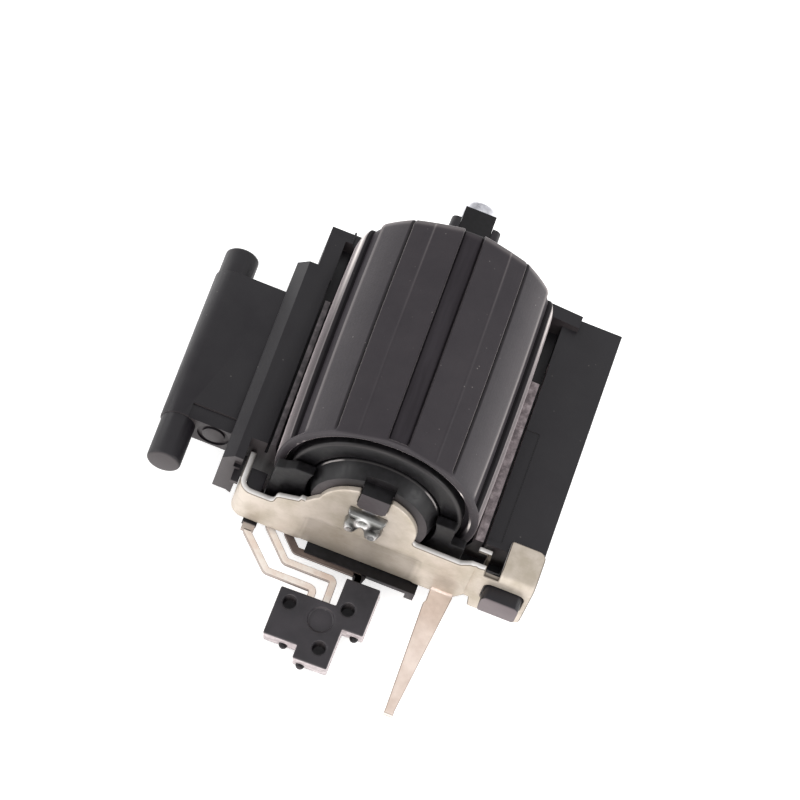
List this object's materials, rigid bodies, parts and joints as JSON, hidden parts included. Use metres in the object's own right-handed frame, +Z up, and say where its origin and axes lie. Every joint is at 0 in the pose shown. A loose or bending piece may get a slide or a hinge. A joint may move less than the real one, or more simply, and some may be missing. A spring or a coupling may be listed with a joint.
{
  "type": "roller encoder",
  "caption": "Thumb roller encoder: ribbed roller on a steel shaft in a moulded frame with pivot pin, stamped end plate, flat leads and a terminal block.",
  "frame": {"origin": "on the flat underside of the frame, straight below the roller's axis at the middle of the roller's length", "axes": "+Y along the roller's axis away from the end plate, +Z up from the flat underside, +X away from the pivot arm"},
  "size_m": [0.0197, 0.0258, 0.0112],
  "materials": {
    "frame_plastic": "satin",
    "hub_plastic": "gloss",
    "block_plastic": "matte",
    "rubber": "matte",
    "plated_steel": "satin",
    "shaft_steel": "polished",
    "contact_brass": "satin",
    "tinned_lead": "satin"
  },
  "bodies": {
    "frame": {"base_frame": "frame_plastic", "front_plate": "plated_steel", "shaft": "shaft_steel", "contact_hub": "hub_plastic", "wiper_common": "contact_brass", "wiper_a": "contact_brass", "wiper_b": "contact_brass", "detent_spring": "shaft_steel", "detent_ball": "shaft_steel", "rear_hub": "hub_plastic", "rear_washer": "shaft_steel", "thrust_washer": "contact_brass", "lead_a": "tinned_lead", "lead_b": "tinned_lead", "lead_common": "tinned_lead", "terminal_block": "block_plastic"},
    "roller": {"roller_sleeve": "rubber", "roller_core": "hub_plastic", "detent_ring": "hub_plastic", "code_disc": "hub_plastic", "code_pattern": "contact_brass"}
  },
  "joints": [
    {"name": "roller_spin", "type": "hinge", "parent": "frame", "child": "roller", "pos_m": [0, 0, 0.006], "axis": [0, 1, 0], "continuous": true}
  ]
}
